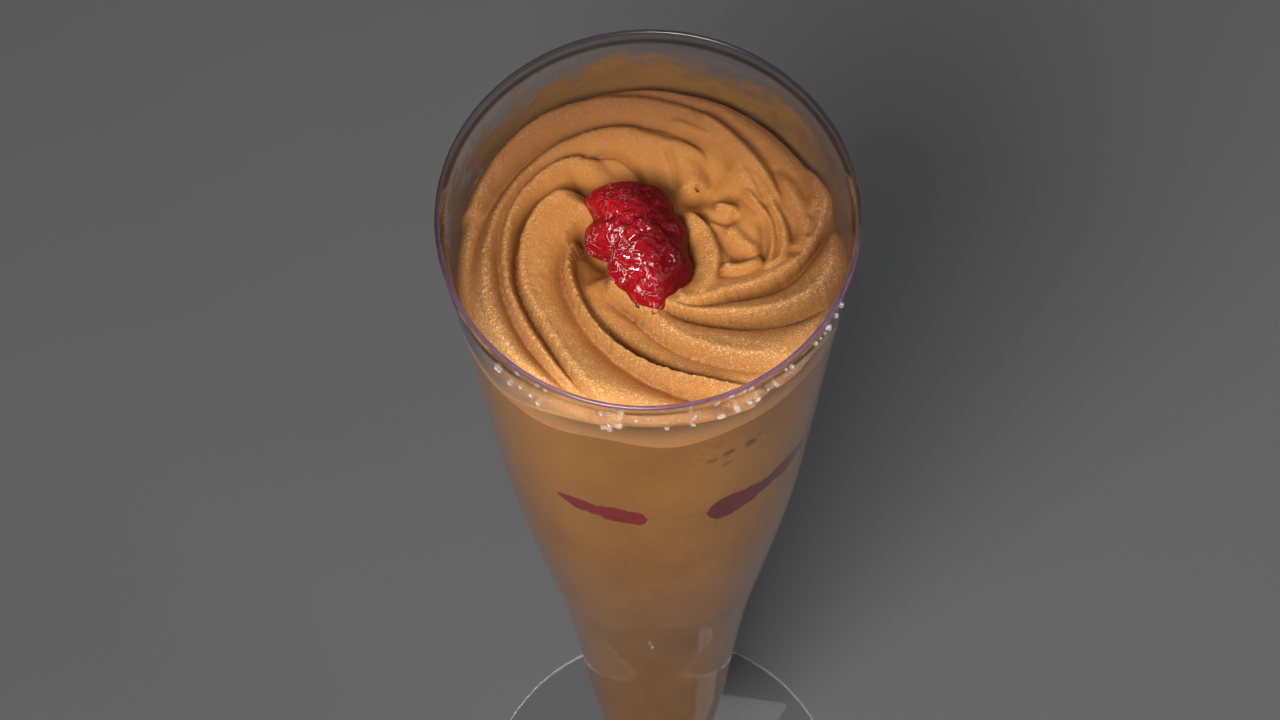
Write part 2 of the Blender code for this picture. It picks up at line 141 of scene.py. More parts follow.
# Creases between the folds: (depth, width, points)
CREASES = [
    (0.020, 0.026, ((0.265, 0.11), (0.305, 0.06), (0.33, 0.01), (0.37, -0.04), (0.415, -0.075),
        (0.485, -0.095), (0.525, -0.12), (0.54, -0.16))),
    (0.020, 0.024, ((0.19, 0.21), (0.27, 0.15), (0.32, 0.12), (0.375, 0.10), (0.405, 0.115),
        (0.42, 0.15))),
    (0.018, 0.028, ((0.52, 0.13), (0.545, 0.05), (0.548, -0.03), (0.535, -0.09), (0.515, -0.115))),
    (0.018, 0.018, ((0.47, 0.43), (0.54, 0.35), (0.585, 0.26), (0.615, 0.18), (0.66, 0.10), (0.69, 0.02),
        (0.69, -0.07))),
    (0.022, 0.030, ((0.67, -0.05), (0.70, -0.075), (0.73, -0.06))),
    (0.018, 0.018, ((0.775, 0.16), (0.79, 0.10), (0.775, 0.04), (0.75, -0.01))),
    (0.055, 0.060, ((-0.36, 0.10), (-0.29, 0.02), (-0.24, -0.03), (-0.16, -0.04))),
    (0.022, 0.016, ((-0.02, 0.34), (-0.03, 0.40), (-0.07, 0.45), (-0.15, 0.49), (-0.25, 0.48),
        (-0.34, 0.43))),
    (0.016, 0.018, ((0.16, 0.31), (0.14, 0.37), (0.12, 0.45), (0.08, 0.54))),
    (0.024, 0.030, ((-0.12, 0.62), (0.02, 0.61), (0.12, 0.575), (0.22, 0.55), (0.31, 0.53), (0.38, 0.45),
        (0.42, 0.34))),
    (0.020, 0.050, ((0.14, 0.24), (0.25, 0.25), (0.35, 0.25), (0.45, 0.21))),
]

# Small holes left by air bubbles in the rosette: (x, y, radius, depth)
HOLES = [
    (0.24, 0.31, 0.012, 0.05), (-0.07, -0.39, 0.010, 0.02), (-0.04, -0.41, 0.008, 0.02),
    (0.02, -0.40, 0.014, 0.03),
]

# The raspberry: its middle, its outline as (angle in degrees, radius), and its drupelets as (x, y, radius)
BERRY_MIDDLE = (-0.060, -0.041)
BERRY_OUTLINE = [
    (2, 0.244), (14, 0.254), (28, 0.250), (40, 0.246), (52, 0.286), (68, 0.318), (84, 0.326), (98, 0.338),
    (112, 0.348), (128, 0.352), (136, 0.342), (141, 0.262), (149, 0.232), (162, 0.252), (174, 0.244),
    (186, 0.230), (196, 0.182), (207, 0.146), (219, 0.174), (232, 0.216), (246, 0.242), (258, 0.262),
    (268, 0.306), (279, 0.350), (290, 0.354), (299, 0.316), (311, 0.304), (324, 0.314), (334, 0.300),
    (347, 0.252),
]
DRUPELETS = [
    (-0.25, 0.20, 0.11), (-0.26, 0.02, 0.11), (-0.12, -0.20, 0.13), (0.01, -0.31, 0.11), (-0.12, -0.03, 0.11),
    (0.01, -0.13, 0.11), (-0.16, 0.13, 0.10), (-0.12, 0.25, 0.10), (-0.01, 0.25, 0.10), (0.10, 0.18, 0.10),
    (-0.03, 0.12, 0.11), (0.14, 0.03, 0.11), (0.03, 0.00, 0.10), (0.16, -0.15, 0.10), (0.10, -0.25, 0.09),
    (0.10, -0.10, 0.09),
]
BERRY_LEVEL = 0.255  # the depth of its outline
BERRY_RISE = 0.200
BERRY_SINK = 0.115

# The raspberry layer, in metres, and where it shows at the wall:
# (centre angle, half width in degrees, share of its full thickness)
FRUIT_HALF_THICKNESS = 0.0040
FRUIT_COVER = 0.0034  # the mousse between it and the wall, where it doesn't show
FRUIT_THIN = 0.00005  # half its thickness past its reach
FRUIT_SHOWN = [
    (259, 9, 0.85), (248, 17, 0.50), (299, 12, 0.95), (314, 22, 0.66), (78, 20, 0.80), (165, 16, 0.60),
]

# Clear beads on the wall, in groups: (angle in degrees, depth, count, spread, size in metres)
BEAD_GROUPS = [
    (226, 0.25, 3, 0.06, 0.00032), (231, 0.21, 1, 0.01, 0.00030), (240, 0.25, 2, 0.05, 0.00026),
    (260, 0.12, 5, 0.05, 0.00022), (261, 0.24, 1, 0.01, 0.00046), (260, 0.29, 3, 0.03, 0.00028),
    (269, 0.13, 3, 0.05, 0.00018), (274, 0.27, 1, 0.01, 0.00024), (280, 0.14, 2, 0.03, 0.00026),
    (281, 0.26, 1, 0.01, 0.00022), (289, 0.26, 2, 0.03, 0.00024), (297, 0.24, 4, 0.05, 0.00030),
    (306, 0.17, 3, 0.04, 0.00022), (312, 0.12, 3, 0.05, 0.00020), (322, 0.13, 5, 0.05, 0.00020),
    (327, 0.14, 4, 0.06, 0.00024),
]
BEAD_WIDENING = 1.35  # a bead's radius on the wall, in its sizes
BEAD_THICKNESS = 0.85  # of its radius

# The dark seed's middle, radius and half its thickness, in metres
SEED_PLACE = np.array([-0.040 * RIM, -0.352 * RIM, CUP_TOP - 0.245 * RIM])
SEED_RADIUS = 0.0005
SEED_HALF_THICKNESS = 0.0004

# The smears on the wall: the depths that they reach between, and the film's two faces off the wall in metres
SMEAR_DEPTHS = (0.05, 0.62)
SMEAR_GAPS = (0.00005, 0.00015)

# Depths between which the lip's colour and the clearer wall under it come in
LIP_BAND = (0.0006 / RIM, 0.0003 / RIM)
CLEAR_BAND = (0.0026 / RIM, 0.0018 / RIM)

# Mesh fineness
ROSETTE_GRID = 288
FILLING_GRID = 120
CUP_SIDES = 192
FRUIT_SIDES = 480
FRUIT_SIDE_ROWS = 14
BERRY_SIDES = 220
BERRY_RINGS = 70
SMEAR_SIDES = 160
SMEAR_RINGS = 12
SHARP_ANGLE = math.radians(55)  # between faces, past which an edge isn't smoothed
WALL_STEPS = 14  # to find where a surface meets the wall
LAST_STEP = 0.9995  # of the way to the bowl's floor, where the last ring before the pole lies

# How a point of the rosette counts as crest or valley, which sets its painted valley shade and crest glints:
# the grid squares to each side that its height is compared with, and the metres from a whole valley to a
# whole crest
CREST_REACH = 7
CREST_SPAN = 0.0022

# ---------------- shapes


def spline(stations, count):
    """Points on the Catmull-Rom curve through the stations, evenly spaced between them."""
    p = np.asarray(stations, float)
    ends = np.vstack([2 * p[0] - p[1], p, 2 * p[-1] - p[-2]])
    u = np.linspace(0, len(p) - 1, count)
    i = np.minimum(u.astype(int), len(p) - 2)
    t = (u - i)[:, None]
    a, b, c, d = ends[i], ends[i + 1], ends[i + 2], ends[i + 3]
    return 0.5 * (2 * b + (c - a) * t + (2 * a - 5 * b + 4 * c - d) * t**2 + (3 * b - a - 3 * c + d) * t**3)


def smoothstep(x, low, high):
    """0 below low, 1 above high, and a smooth S between them."""
    t = np.clip((x - low) / (high - low), 0, 1)
    return t * t * (3 - 2 * t)


def lumps(x, y, cell, seed):
    """Smooth random heights from -1 to 1: random values on a square lattice, blended by smoothsteps."""
    size = 97
    lattice = np.random.default_rng(seed).uniform(-1, 1, (size, size))
    i = np.floor(x / cell).astype(int)
    j = np.floor(y / cell).astype(int)
    a = smoothstep(x / cell - i, 0, 1)
    b = smoothstep(y / cell - j, 0, 1)
    near = lattice[i % size, j % size] * (1 - a) + lattice[(i + 1) % size, j % size] * a
    far = lattice[i % size, (j + 1) % size] * (1 - a) + lattice[(i + 1) % size, (j + 1) % size] * a
    return near * (1 - b) + far * b


OUTER_CURVE = spline(CUP_OUTLINE, 281)


def outer_radius(z):
    """The flute's outer radius at a height, read from its outline's curve."""
    return np.interp(z, OUTER_CURVE[:, 0], OUTER_CURVE[:, 1])


def wall_thickness(z):
    """The full wall, thinning to the lip over the last few millimetres."""
    return WALL - (WALL - LIP_WALL) * smoothstep(z, CUP_TOP - LIP_TAPER, CUP_TOP)


def inner_radius(z):
    """The bowl's inner radius at a height, rounded in to nothing at its floor by a quarter ellipse."""
    t = np.clip((np.asarray(z, float) - BOWL_FLOOR) / FLOOR_ROUNDING, 0, 1)
    return (outer_radius(z) - wall_thickness(z)) * np.sqrt(1 - (1 - t) ** 2)


def filling_radius(z):
    """The radius of what fills the bowl: the inner wall and a little more."""
    return inner_radius(z) + BITE


def add_object(name, data):
    """An object with this data, in the scene."""
    thing = bpy.data.objects.new(name, data)
    bpy.context.scene.collection.objects.link(thing)
    return thing


def add_piece(name, points, faces, finish, replaced=None):
    """A smooth mesh from points and faces, riding on the one body; quads and triangles may be mixed."""
    mesh = bpy.data.meshes.new(name)
    mesh.from_pydata(np.asarray(points).tolist(), [], faces)
    mesh.update()
    mesh.validate()
    mesh.shade_smooth()
    mesh.set_sharp_from_angle(angle=SHARP_ANGLE)
    mesh.materials.append(finish)
    piece = add_object(name, mesh)
    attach(piece, "root")
    if replaced:
        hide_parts(replaced)
    return piece


def even_angles(count):
    """Angles in even steps once round the axis."""
    return np.arange(count) * 2 * math.pi / count


def points_round(radius, angle, height):
    """Rows of points at a radius and an angle about the axis, and a height."""
    x, y = radius * np.cos(angle), radius * np.sin(angle)
    return np.dstack([x, y, np.broadcast_to(height, x.shape)])


def side_faces(rings):
    """Quads between closed rings of point numbers, each ring under the one before, facing outwards."""
    above, below = rings[:-1], rings[1:]
    corners = [above, below, np.roll(below, -1, 1), np.roll(above, -1, 1)]
    return np.stack(corners, axis=-1).reshape(-1, 4).tolist()


def fan_faces(ring, pole, upwards):
    """Triangles from a closed ring of point numbers to one pole."""
    after = np.roll(ring, -1)
    poles = np.full_like(ring, pole)
    order = [poles, ring, after] if upwards else [ring, poles, after]
    return np.stack(order, axis=1).tolist()


def skin_faces(rings, first, last):
    """The faces of a closed skin over rings of point numbers, with a pole at either end."""
    return fan_faces(rings[0], first, True) + side_faces(rings) + fan_faces(rings[-1], last, False)


def skinned(name, first_pole, rows, last_pole, finish, replaced=None):
    """A closed skin over rings of points, from the pole on top, down the side, to the pole underneath."""
    points = np.vstack([[first_pole], rows.reshape(-1, 3), [last_pole]])
    rings = 1 + np.arange(len(points) - 2).reshape(rows.shape[:2])
    return add_piece(name, points, skin_faces(rings, 0, len(points) - 1), finish, replaced)


def disc_grid(cells):
    """Shares of the radius and angles of a square grid bent into a disc, whose squares become its rings."""
    side = np.linspace(-1, 1, cells + 1)
    a, b = np.meshgrid(side, side, indexing="ij")
    share = np.maximum(np.abs(a), np.abs(b))
    tall = np.abs(b) > np.abs(a)
    base = np.where(share == 0, 1, np.where(tall, b, a))
    lean = np.where(tall, a, b) / base * math.pi / 4
    angle = np.where(tall, np.sign(b) * math.pi / 2 - lean, np.where(a < 0, math.pi, 0) + lean)
    return share, angle


def grid_rim(numbers):
    """The numbers along the edge of a square grid of them, counter-clockwise from its lower right corner."""
    return np.concatenate([numbers[-1, :-1], numbers[:0:-1, -1], numbers[0, :0:-1], numbers[:-1, 0]])


def wall_edge(surface, angles):
    """The radius at which a surface meets the bowl's wall, found by stepping to it."""
    radius = np.full_like(angles, 0.8 * RIM)
    for _ in range(WALL_STEPS):
        radius = filling_radius(surface(radius, angles))
    return radius


def middle_of(surface):
    """A surface's height on the axis."""
    return float(surface(np.zeros(1), np.zeros(1))[0])


def filling(name, top, bottom, cells, side_rows, finish, replaced):
    """What fills the bowl between two surfaces, or down to its floor where there is no lower surface.

    The top is a square grid bent into a disc and lifted to the top surface. The side's rows, at the filling's
    radius, step down evenly to the lower surface's edge, or ever closer together to the bowl's rounded floor.
    The underside is a fan.
    """
    share, angle = disc_grid(cells)
    radius = share * wall_edge(top, angle)
    lid = points_round(radius, angle, top(radius, angle)).reshape(-1, 3)
    numbers = np.arange(len(lid)).reshape(cells + 1, cells + 1)
    rim = grid_rim(numbers)
    squares = [numbers[:-1, :-1], numbers[1:, :-1], numbers[1:, 1:], numbers[:-1, 1:]]
    faces = np.stack(squares, axis=-1).reshape(-1, 4).tolist()
    around = angle.reshape(-1)[rim]
    edge = lid[rim, 2]
    steps = np.arange(1, side_rows + 1) / side_rows
    if bottom is None:
        steps = np.sin(steps * math.pi / 2) * LAST_STEP
        low = np.full_like(around, BOWL_FLOOR)
        pole = BOWL_FLOOR
    else:
        low = bottom(wall_edge(bottom, around), around)
        pole = middle_of(bottom)
    z = edge + (low - edge) * steps[:, None]
    side = points_round(filling_radius(z), around, z).reshape(-1, 3)
    points = np.vstack([lid, side, [[0, 0, pole]]])
    rings = np.vstack([rim, len(lid) + np.arange(len(side)).reshape(side_rows, -1)])
    faces += side_faces(rings) + fan_faces(rings[-1], len(points) - 1, False)
    return add_piece(name, points, faces, finish, replaced)


# ---------------- the rosette's surface


def crinkle(angle, seed):
    """The scalloped waver of a torn crest: the mean of sines of many rates along the angle."""
    rates = np.random.default_rng(seed).uniform(*CRINKLE_RATES, CRINKLE_WAVES)
    phases = np.random.default_rng(seed + 1).uniform(0, 2 * math.pi, CRINKLE_WAVES)
    return sum(np.sin(rate * angle + phase) for rate, phase in zip(rates, phases)) / CRINKLE_WAVES


def off_curve(x, y, points):
    """Distance to a curve through points, which side it is on (left is positive), and its place from 0 to 1.

    Each point is dropped onto every short step of the curve; the nearest landing counts.
    """
    curve = spline(points, 4 * len(points))
    start, step = curve[:-1], np.diff(curve, axis=0)
    off_x, off_y = x[..., None] - start[:, 0], y[..., None] - start[:, 1]
    along = np.clip((off_x * step[:, 0] + off_y * step[:, 1]) / (step**2).sum(1), 0, 1)
    away = np.hypot(off_x - along * step[:, 0], off_y - along * step[:, 1])
    nearest = away.argmin(-1)[..., None]
    side = np.take_along_axis(step[:, 0] * off_y - step[:, 1] * off_x, nearest, -1)[..., 0]
    place = (nearest + np.take_along_axis(along, nearest, -1))[..., 0] / len(step)
    return np.take_along_axis(away, nearest, -1)[..., 0], side, place


def ridge_and_groove(x, y, start, stop, height, inner, outer, rope, groove_depth, groove_width, radii):
    """Height of a spiral ridge and depth of the groove along its outer foot.

    Across the ridge the height is h (1 - |d / w|^1.6), with one width w inside the crest and another outside
    it, plus a bell for the rope just inside the crest. The distance d is taken square to the crest, and
    wavers with the crinkle near it. With g as the distance past the groove's start in groove widths, the
    groove's depth is D g e^(1-g). Both fade in at the ridge's start and out at its end.
    """
    span = stop - start
    angle = (np.degrees(np.arctan2(y, x)) - start) % 360.0
    angle = np.where(angle > (span + 360.0) / 2, angle - 360.0, angle)
    place = angle / span
    stations = np.linspace(0, 1, RIDGE_STATIONS)
    crest = spline([(r,) for r in radii], RIDGE_STATIONS)[:, 0]
    slope = np.gradient(crest, stations) / math.radians(span)
    here = np.interp(place, stations, crest)
    away = (np.hypot(x, y) - here) * here / np.hypot(here, np.interp(place, stations, slope))
    waver = CRINKLE_SWAY * crinkle(np.radians(angle), start % 7)
    away = away + waver * np.exp(-((away / CRINKLE_REACH) ** 2))
    width = np.where(away > 0, outer, inner)
    across = np.clip(1 - (np.abs(away) / width) ** 1.6, -1, 1)
    across = across + rope * ROPE_HEIGHT * np.exp(-(((away + ROPE_INSET) / ROPE_WIDTH) ** 2))
    ends = smoothstep(1 - place, 0, RIDGE_FADE_OUT)
    fade = smoothstep(place, 0, RIDGE_FADE_IN) * ends
    beyond = np.clip(away - GROOVE_START * outer, 0, 1) / groove_width
    groove = groove_depth * beyond * np.exp(1 - beyond) * smoothstep(place, *GROOVE_FADE_IN) * ends
    return height * (across * fade - (1 - fade)), groove


def beside(x, y, points, reach):
    """Whether each point lies in the box round a curve's points, widened by a reach."""
    low, high = np.min(points, axis=0) - reach, np.max(points, axis=0) + reach
    return (x > low[0]) & (x < high[0]) & (y > low[1]) & (y < high[1])


def fold_height(x, y, height, left, right, points):
    """A rounded fold along a curve: h (1 - (d / w)^1.8), with a width to either side, and lower by up to
    half its height at its start."""
    lift = np.full_like(x, -height)
    near = beside(x, y, points, 1.5 * max(left, right))
    away, side, place = off_curve(x[near], y[near], points)
    across = np.clip(1 - (away / np.where(side > 0, left, right)) ** 1.8, -1, 1)
    lift[near] = height * (across - 0.5 * (1 - smoothstep(place, 0, FOLD_FADE_IN)))
    return lift


def crease_depth(x, y, depth, width, points):
    """A crease along a curve: D e^(-(d / w)^2), fading at both ends."""
    cut = np.zeros_like(x)
    near = beside(x, y, points, 3 * width)
    away, _, place = off_curve(x[near], y[near], points)
    ends = smoothstep(place, 0, CREASE_FADE) * smoothstep(1 - place, 0, CREASE_FADE)
    cut[near] = depth * np.exp(-((away / width) ** 2)) * ends
    return cut


def swirl(x, y):
    """Height of the piping over the rosette's base: ln(sum of e^(k h)) / k over all ridges and folds, which
    is their rounded upper envelope, less the deepest groove or crease."""
    ridges = [ridge_and_groove(x, y, *ridge) for ridge in RIDGES]
    heights = [np.zeros_like(x)] + [height for height, _ in ridges]
    heights += [fold_height(x, y, *fold) for fold in FOLDS]
    depths = [groove for _, groove in ridges] + [crease_depth(x, y, *crease) for crease in CREASES]
    total = np.sum([np.exp(BLEND_SHARPNESS * height) for height in heights], axis=0)
    return np.log(total) / BLEND_SHARPNESS - np.max(depths, axis=0)


def front_share(angle):
    """1 at the front, where the ridges run out against the wall, and 0 at the back and sides."""
    return smoothstep(np.cos(angle - FRONT_MIDDLE), *FRONT_SPAN)


def hole_depth(x, y):
    """Depth of the air-bubble holes: round-bottomed pits with a crisp edge."""
    depth = np.zeros_like(x)
    for middle_x, middle_y, radius, deep in HOLES:
        away = np.hypot(x - middle_x, y - middle_y) / radius
        depth = np.maximum(depth, deep * np.sqrt(np.clip(1 - away**2, 0, 1)))
    return depth


def rosette_surface(radius, angle):
    """Height of the rosette's top: a low dome with the swirl on it, lifted and pressed flatter at the front,
    dropping at the edge elsewhere, with an uneven skin and bubble holes."""
    x, y = radius * np.cos(angle) / RIM, radius * np.sin(angle) / RIM
    share = radius / RIM
    depth = ROSETTE_DEPTH - ROSETTE_DOME * (1 - share**2)
    front = front_share(angle)
    depth = depth - FRONT_LIFT * front * smoothstep(share, *FRONT_LIFT_SPAN)
    pressed = PRESSED_FLAT * front * smoothstep(share, *PRESSED_SPAN)
    depth = depth - RELIEF * (swirl(x, y) - RELIEF_BASE) * (1 - pressed)
    depth = depth + EDGE_DROP * (1 - front) * smoothstep(share, *EDGE_SPAN) ** 2
    for height, size, seed in SKIN_LUMPS:
        depth = depth - height * lumps(x, y, size, seed)
    depth = depth + hole_depth(x, y)
    return CUP_TOP - depth * RIM


def seam(depth, wave, tilt=0.0, drop=0.0):
    """A function for the height of a seam between fillings: wavy towards the wall, tilted down to the right,
    and lower by a drop everywhere but at the front."""

    def height(radius, angle):
        share = radius / RIM
        ripple = wave * share * (np.sin(7 * angle - 1.55) + 0.6 * np.sin(11 * angle - 0.65))
        slope = tilt * share * np.cos(angle) + drop * share * (1 - front_share(angle))
        return CUP_TOP - RIM * (depth + ripple + slope)

    return height


def fruit_at_wall(angle):
    """The share of its thickness that the raspberry layer has at the wall: half ellipses along the wall."""
    share = np.zeros_like(angle)
    for centre, half_width, thickness in FRUIT_SHOWN:
        off = np.degrees(np.abs(np.angle(np.exp(1j * (angle - math.radians(centre)))))) / half_width
        share = np.maximum(share, thickness * np.sqrt(np.clip(1 - off**2, 0, 1)))
    return share


def fruit_reach(angle):
    """The radius at which the raspberry layer thins out: w / (1 - s^2)^(1/6), with w as the wall's radius and
    s as its share of thickness there, less a cover of mousse where it doesn't show."""
    shown = fruit_at_wall(angle)
    wall = wall_edge(FRUIT_LEVEL, angle)
    return wall / (1 - shown**2) ** (1 / 6) - FRUIT_COVER * (1 - smoothstep(shown, 0, 0.5))


def fruit_half_thickness(radius, angle):
    """Half the raspberry layer's thickness: lumpy, times (1 - (r / reach)^6)^(1/2)."""
    bumps = 1 + 0.16 * np.sin(5 * angle + 90 * radius) + 0.12 * np.sin(9 * angle + 1.1)
    bumps = bumps + 0.30 * lumps(angle * RIM * 0.8, radius, 0.0016, 11)
    thin = np.sqrt(np.clip(1 - (radius / fruit_reach(angle)) ** 6, 0, 1))
    return FRUIT_THIN + FRUIT_HALF_THICKNESS * bumps * thin


ROSETTE_UNDERSIDE = seam(depth=0.53, wave=0.030, drop=0.09)
FRUIT_LEVEL = seam(depth=1.64, wave=0.004, tilt=0.10)
FLOOR_SEAM = seam(depth=2.06, wave=0.010)


def fruit_top(radius, angle):
    """The raspberry layer's upper surface."""
    return FRUIT_LEVEL(radius, angle) + fruit_half_thickness(radius, angle)


def fruit_underside(radius, angle):
    """The raspberry layer's lower surface."""
    return FRUIT_LEVEL(radius, angle) - fruit_half_thickness(radius, angle)


# ---------------- materials


class Wire:
    """A shader value. Sums, differences, products, powers and sizes of wires add Math nodes."""

    def __init__(self, finish, socket):
        self.finish = finish
        self.socket = socket

    def math(self, operation, a, b):
        return self.finish.node("ShaderNodeMath", {"operation": operation}, {0: a, 1: b})

    def __add__(self, other):
        return self.math("ADD", self, other)

    def __sub__(self, other):
        return self.math("SUBTRACT", self, other)

    def __rsub__(self, other):
        return self.math("SUBTRACT", other, self)

    def __mul__(self, other):
        return self.math("MULTIPLY", self, other)

    def __pow__(self, other):
        return self.math("POWER", self, other)

    def __abs__(self):
        return self.finish.node("ShaderNodeMath", {"operation": "ABSOLUTE"}, {0: self})

    __radd__ = __add__
    __rmul__ = __mul__


class Finish:
    """A material under construction: its nodes, and its Principled shader."""

    def __init__(self, name, **settings):
        self.material = bpy.data.materials.new(name)
        self.material.use_nodes = True
        self.tree = self.material.node_tree
        self.shader = self.tree.nodes["Principled BSDF"]
        self.set(**settings)

    def node(self, kind, settings=None, inputs=None, output=0):
        """Adds a node: its settings first, then its sockets' values or wires."""
        node = self.tree.nodes.new(kind)
        for name, value in (settings or {}).items():
            setattr(node, name, value)
        for name, value in (inputs or {}).items():
            self.feed(node.inputs[name], value)
        return Wire(self, node.outputs[output])

    def feed(self, socket, value):
        """Links a wire to a socket, or sets the socket's own value."""
        if isinstance(value, Wire):
            self.tree.links.new(value.socket, socket)
        elif isinstance(value, tuple) and socket.type == "RGBA":
            socket.default_value = (*value, 1.0)
        else:
            socket.default_value = value

    def place(self):
        """The point on the object, in metres."""
        return self.node("ShaderNodeTexCoord", output="Object")

    def along(self, axis):
        """The place along one axis, in metres."""
        return self.node("ShaderNodeSeparateXYZ", inputs={0: self.place()}, output=axis)

    def noise(self, size, detail=2.0, roughness=0.5, stretch=None, winding=0.0):
        """Smooth noise from 0 to 1 whose lumps are size metres across; winding swirls them."""
        place = self.place()
        if stretch:
            place = self.node("ShaderNodeMapping", inputs={"Vector": place, "Scale": stretch})
        inputs = {"Vector": place, "Scale": 1 / size, "Detail": detail, "Roughness": roughness}
        return self.node("ShaderNodeTexNoise", inputs={**inputs, "Distortion": winding})

    def cells(self, size):
        """Distance to the nearest of scattered points that lie about size metres apart."""
        return self.node("ShaderNodeTexVoronoi", inputs={"Vector": self.place(), "Scale": 1 / size})

    def band(self, value, low, high):
        """0 below low, 1 above high, with a smooth S between."""
        settings = {"interpolation_type": "SMOOTHSTEP"}
        return self.node("ShaderNodeMapRange", settings, {"Value": value, "From Min": low, "From Max": high})

    def rightwards(self, start, end):
        """A band from left to right, in rim radii from the axis."""
        return self.band(self.along("X"), start * RIM, end * RIM)

    def backwards(self, start, end):
        """A band from front to back, in rim radii from the axis."""
        return self.band(self.along("Y"), start * RIM, end * RIM)

    def outwards(self, start, end):
        """A band from the axis out, in rim radii."""
        off_axis = (self.along("X") ** 2 + self.along("Y") ** 2) ** 0.5
        return self.band(off_axis, start * RIM, end * RIM)

    def upwards(self, start, end):
        """A band from low to high, in rim radii down from the rim."""
        return self.band(self.along("Z"), CUP_TOP - start * RIM, CUP_TOP - end * RIM)

    def hump(self, value, middle, reach):
        """1 at the middle, falling smoothly to 0 at a reach to either side."""
        return 1 - self.band(abs(value - middle), 0.0, reach)

    def attribute(self, name):
        """A value carried by the mesh's points."""
        return self.node("ShaderNodeAttribute", {"attribute_name": name}, output="Fac")

    def mix(self, share, first, second):
        """A colour between two colours, on the Mix node's colour sockets."""
        inputs = {"Factor": share, 6: first, 7: second}
        return self.node("ShaderNodeMix", {"data_type": "RGBA"}, inputs, output=2)

    def set(self, **sockets):
        """Feeds the shader's sockets, and gives the finished material."""
        for name, value in sockets.items():
            self.feed(self.shader.inputs[name.replace("_", " ")], value)
        return self.material

    def bump(self, height, distance, strength=1.0, below=None):
        """A normal from a height between 0 and 1 that stands for distance metres."""
        inputs = {"Height": height, "Distance": distance, "Strength": strength}
        if below:
            inputs["Normal"] = below
        return self.node("ShaderNodeBump", inputs=inputs)


def srgb(red, green, blue):
    """A linear colour from display values between 0 and 255."""
    values = np.array([red, green, blue]) / 255
    linear = np.where(values > 0.04045, ((values + 0.055) / 1.055) ** 2.4, values / 12.92)
    return tuple(float(v) for v in linear)


def piped_mousse():
    """Matte piped mousse: warm tan, with painted shade in its valleys, towards the wall and over the back,
    and painted light over the front. Pale painted glints sparkle on its grains, most along its crests.
    Against the wall it is darker near the rim and paler lower down."""
    finish = Finish("piped_mousse", Subsurface_Weight=0.12, Subsurface_Radius=(1.0, 0.45, 0.20),
                    Subsurface_Scale=0.0008, Specular_IOR_Level=0.35)
    broad = finish.noise(0.007, 3.0)
    fine = finish.noise(0.0009, 4.0)
    grain = finish.noise(0.00026, 4.0, 0.75)
    colour = finish.mix(broad, srgb(182, 116, 50), srgb(200, 134, 63))
    crest = finish.attribute("crest")
    # Painted shade in the valleys: darker the lower a point lies below its surroundings.
    colour = finish.mix(1 - finish.band(crest, 0.0, 0.5), colour, srgb(138, 82, 32))
    # Painted shade towards the wall, everywhere but at the front.
    outer = finish.outwards(0.50, 0.88) * finish.backwards(-0.80, -0.35)
    colour = finish.mix(outer * 0.80, colour, srgb(124, 76, 36))
    # Painted shade over the back.
    back = finish.backwards(0.20, 0.85)
    colour = finish.mix(back * 0.60, colour, srgb(116, 70, 32))
    # Painted light over the front.
    front = 1 - finish.backwards(-0.80, 0.10)
    colour = finish.mix(front * 0.40, colour, srgb(214, 152, 82))
    # Painted glints: pale specks on the grains, most on lit crests and at the front, fewest at the back.
    glint_specks = finish.band(grain, 0.50, 0.64) * (1 - 0.75 * finish.backwards(0.0, 0.6))
    lit = finish.band(crest, 0.42, 0.80)
    colour = finish.mix(glint_specks * (0.06 + 0.30 * front + 0.34 * lit), colour, srgb(255, 224, 175))
    wall = finish.outwards(0.935, 0.955)
    low = 1 - finish.upwards(0.45, 0.25)
    pressed = finish.mix(broad, srgb(122, 80, 38), srgb(144, 98, 50))
    pressed = finish.mix(low, pressed, finish.mix(broad, srgb(172, 122, 66), srgb(196, 144, 84)))
    colour = finish.mix(wall, colour, pressed)
    normal = finish.bump(grain, 0.00016, 0.9)
    normal = finish.bump(fine, 0.00005, 0.5, normal)
    return finish.set(Base_Color=colour, Roughness=0.68 - glint_specks * 0.20, Normal=normal)


def settled_mousse():
    """Mousse pressed smooth against the wall, a little darker, faintly marbled, and pitted at one place, with
    painted shade in the pits.
    """
    finish = Finish("settled_mousse", Subsurface_Weight=0.15, Subsurface_Radius=(1.0, 0.45, 0.20),
                    Subsurface_Scale=0.0012, Specular_IOR_Level=0.2)
    broad = finish.noise(0.012, 4.0, 0.55, (1.0, 1.0, 0.6))
    fine = finish.noise(0.0011, 3.0)
    colour = finish.mix(finish.band(broad, 0.3, 0.7), srgb(150, 99, 32), srgb(166, 113, 42))
    colour = finish.mix(finish.band(fine, 0.55, 0.75) * 0.3, colour, srgb(146, 92, 28))
    near = 1 - finish.backwards(-0.75, -0.60)
    # Pits near the front: bumped in, and darkened with painted shade.
    shaded_pits = 1 - finish.band(finish.cells(0.0024), 0.22, 0.42)
    shaded_pits = shaded_pits * finish.hump(finish.along("Z"), CUP_TOP - 0.86 * RIM, 0.30 * RIM)
    shaded_pits = shaded_pits * finish.hump(finish.along("X"), 0.40 * RIM, 0.30 * RIM) * near
    colour = finish.mix(shaded_pits * 0.9, colour, srgb(98, 56, 20))
    normal = finish.bump(fine + shaded_pits * -1.5, 0.00010, 0.6)
    return finish.set(Base_Color=colour, Roughness=0.55 + fine * 0.15, Normal=normal)


